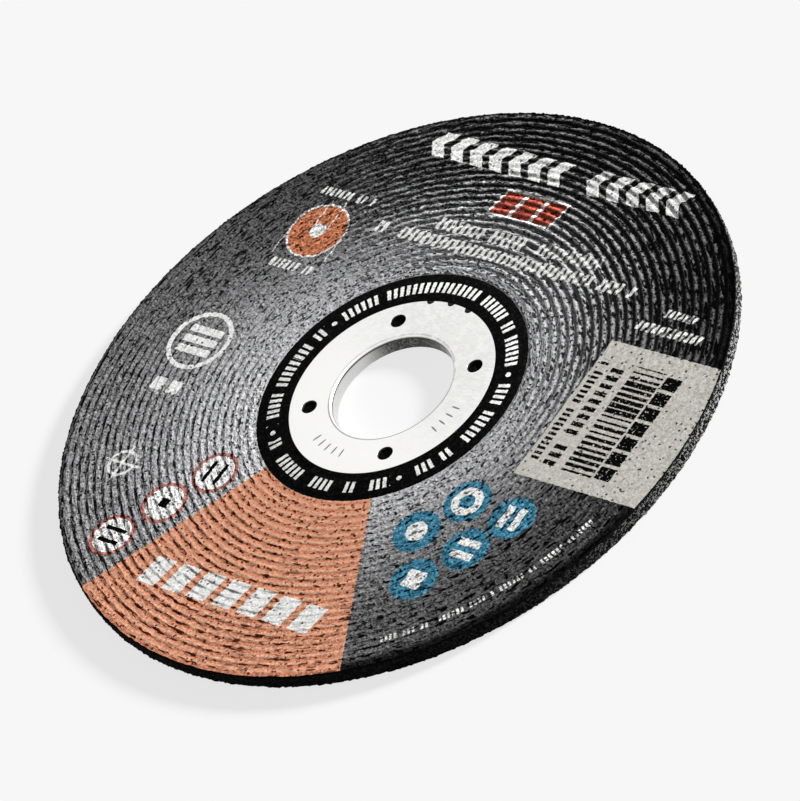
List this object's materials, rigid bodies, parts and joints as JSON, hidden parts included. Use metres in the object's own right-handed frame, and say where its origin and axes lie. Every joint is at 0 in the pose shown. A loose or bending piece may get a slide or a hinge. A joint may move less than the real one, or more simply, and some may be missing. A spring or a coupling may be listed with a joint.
{
  "type": "cut off wheel",
  "caption": "Flat round abrasive cutting wheel with a ribbed, printed face, a plain back and a flanged steel ring lining its arbor bore.",
  "frame": {"origin": "on the bore's axis, at the back face that the wheel lies on", "axes": "+Z along the bore's axis, from the plain back towards the printed face"},
  "size_m": [0.125, 0.125, 0.003],
  "materials": {
    "bonded_abrasive": "coarse dark grain in black resin",
    "printed_label": "matte print on a ribbed, slightly pitted sheet",
    "ring_steel": "bright stamped sheet"
  },
  "bodies": {
    "root": {"abrasive_disc": "bonded_abrasive", "face_label": "printed_label", "centre_ring": "ring_steel"}
  },
  "joints": []
}
